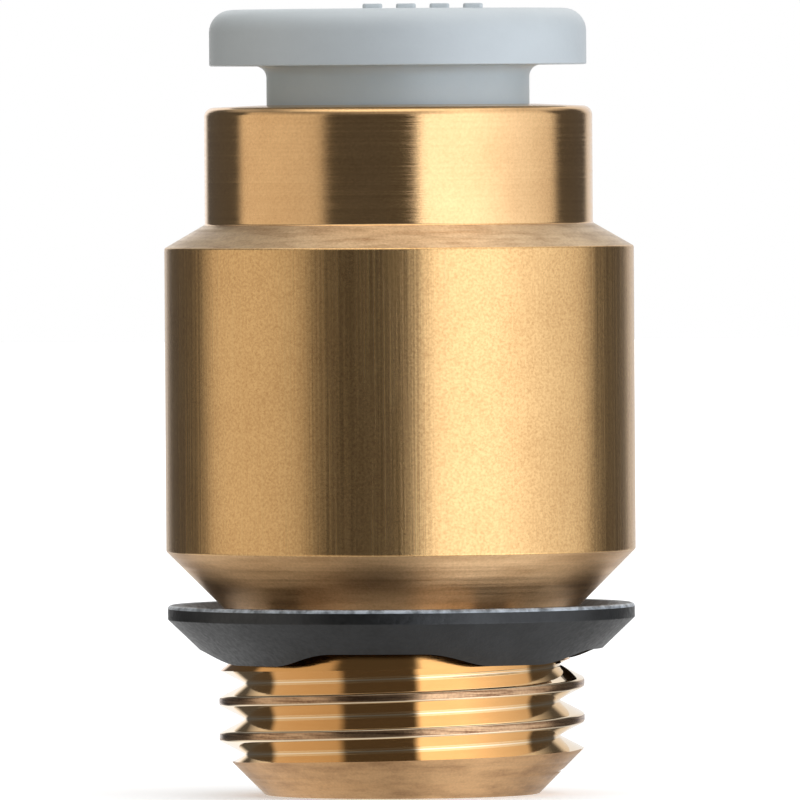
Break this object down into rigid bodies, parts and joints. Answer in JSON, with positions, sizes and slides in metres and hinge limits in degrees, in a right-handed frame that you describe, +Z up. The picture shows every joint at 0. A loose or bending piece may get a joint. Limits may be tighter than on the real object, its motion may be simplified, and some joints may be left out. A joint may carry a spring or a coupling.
{
  "type": "push to connect fitting",
  "caption": "Straight male push to connect fitting: brass body with threaded stud, hexagon socket inside the bore, plastic release button and a conical sealing gasket.",
  "frame": {"origin": "centre of the threaded stud's flat end, on the fitting's axis", "axes": "+Z up along the axis, from the stud's end to the release button and the way that a tube leaves; -Y is the side that the picture shows, and the raised bars on the button are on that side"},
  "size_m": [0.012, 0.012, 0.0202],
  "materials": {
    "brass": "turned bright brass",
    "guide_steel": "drawn stainless steel",
    "seal_rubber": "smooth moulded rubber",
    "holder_plastic": "natural moulded acetal",
    "spring_steel": "stamped stainless spring steel",
    "button_plastic": "light grey moulded plastic, satin",
    "gasket_rubber": "black satin rubber",
    "core_steel": "stamped steel"
  },
  "bodies": {
    "fitting": {"brass_body": "brass", "guide_ring": "guide_steel", "tube_seal": "seal_rubber"},
    "chuck_set": {"chuck_holder": "holder_plastic", "chuck_ring": "spring_steel"},
    "button": {"release_button": "button_plastic"},
    "gasket": {"gasket_rubber": "gasket_rubber", "gasket_core": "core_steel"},
    "finger_01": {"chuck_finger_01": "spring_steel"},
    "finger_02": {"chuck_finger_02": "spring_steel"},
    "finger_03": {"chuck_finger_03": "spring_steel"},
    "finger_04": {"chuck_finger_04": "spring_steel"},
    "finger_05": {"chuck_finger_05": "spring_steel"},
    "finger_06": {"chuck_finger_06": "spring_steel"},
    "finger_07": {"chuck_finger_07": "spring_steel"},
    "finger_08": {"chuck_finger_08": "spring_steel"},
    "finger_09": {"chuck_finger_09": "spring_steel"},
    "finger_10": {"chuck_finger_10": "spring_steel"},
    "finger_11": {"chuck_finger_11": "spring_steel"},
    "finger_12": {"chuck_finger_12": "spring_steel"}
  },
  "joints": [
    {"name": "chuck_turn", "type": "hinge", "parent": "fitting", "child": "chuck_set", "pos_m": [0, 0, 0.01376], "axis": [0, 0, 1], "continuous": true},
    {"name": "button_slide", "type": "slide", "parent": "chuck_set", "child": "button", "axis": [0, 0, -1], "range_m": [0, 0.00085], "stiffness_N_per_m": 6000, "springref_m": -0.0001},
    {"name": "gasket_float", "type": "slide", "parent": "fitting", "child": "gasket", "axis": [0, 0, 1], "range_m": [0, 0.0005]},
    {"name": "finger_01_bend", "type": "hinge", "parent": "chuck_set", "child": "finger_01", "pos_m": [0.00338, 0, 0.01389], "axis": [0, -1, 0], "range_deg": [0, 22.05]},
    {"name": "finger_02_bend", "type": "hinge", "parent": "chuck_set", "child": "finger_02", "pos_m": [0.00293, 0.00169, 0.01389], "axis": [0.5, -0.866, 0], "range_deg": [0, 22.05]},
    {"name": "finger_03_bend", "type": "hinge", "parent": "chuck_set", "child": "finger_03", "pos_m": [0.00169, 0.00293, 0.01389], "axis": [0.866, -0.5, 0], "range_deg": [0, 22.05]},
    {"name": "finger_04_bend", "type": "hinge", "parent": "chuck_set", "child": "finger_04", "pos_m": [0, 0.00338, 0.01389], "axis": [1, 0, 0], "range_deg": [0, 22.05]},
    {"name": "finger_05_bend", "type": "hinge", "parent": "chuck_set", "child": "finger_05", "pos_m": [-0.00169, 0.00293, 0.01389], "axis": [0.866, 0.5, 0], "range_deg": [0, 22.05]},
    {"name": "finger_06_bend", "type": "hinge", "parent": "chuck_set", "child": "finger_06", "pos_m": [-0.00293, 0.00169, 0.01389], "axis": [0.5, 0.866, 0], "range_deg": [0, 22.05]},
    {"name": "finger_07_bend", "type": "hinge", "parent": "chuck_set", "child": "finger_07", "pos_m": [-0.00338, 0, 0.01389], "axis": [0, 1, 0], "range_deg": [0, 22.05]},
    {"name": "finger_08_bend", "type": "hinge", "parent": "chuck_set", "child": "finger_08", "pos_m": [-0.00293, -0.00169, 0.01389], "axis": [-0.5, 0.866, 0], "range_deg": [0, 22.05]},
    {"name": "finger_09_bend", "type": "hinge", "parent": "chuck_set", "child": "finger_09", "pos_m": [-0.00169, -0.00293, 0.01389], "axis": [-0.866, 0.5, 0], "range_deg": [0, 22.05]},
    {"name": "finger_10_bend", "type": "hinge", "parent": "chuck_set", "child": "finger_10", "pos_m": [0, -0.00338, 0.01389], "axis": [-1, 0, 0], "range_deg": [0, 22.05]},
    {"name": "finger_11_bend", "type": "hinge", "parent": "chuck_set", "child": "finger_11", "pos_m": [0.00169, -0.00293, 0.01389], "axis": [-0.866, -0.5, 0], "range_deg": [0, 22.05]},
    {"name": "finger_12_bend", "type": "hinge", "parent": "chuck_set", "child": "finger_12", "pos_m": [0.00293, -0.00169, 0.01389], "axis": [-0.5, -0.866, 0], "range_deg": [0, 22.05]}
  ],
  "couplings": [
    {"joint": "finger_01_bend", "follows": "button_slide", "rad_per_m": 451.73},
    {"joint": "finger_02_bend", "follows": "button_slide", "rad_per_m": 451.73},
    {"joint": "finger_03_bend", "follows": "button_slide", "rad_per_m": 451.73},
    {"joint": "finger_04_bend", "follows": "button_slide", "rad_per_m": 451.73},
    {"joint": "finger_05_bend", "follows": "button_slide", "rad_per_m": 451.73},
    {"joint": "finger_06_bend", "follows": "button_slide", "rad_per_m": 451.73},
    {"joint": "finger_07_bend", "follows": "button_slide", "rad_per_m": 451.73},
    {"joint": "finger_08_bend", "follows": "button_slide", "rad_per_m": 451.73},
    {"joint": "finger_09_bend", "follows": "button_slide", "rad_per_m": 451.73},
    {"joint": "finger_10_bend", "follows": "button_slide", "rad_per_m": 451.73},
    {"joint": "finger_11_bend", "follows": "button_slide", "rad_per_m": 451.73},
    {"joint": "finger_12_bend", "follows": "button_slide", "rad_per_m": 451.73}
  ]
}
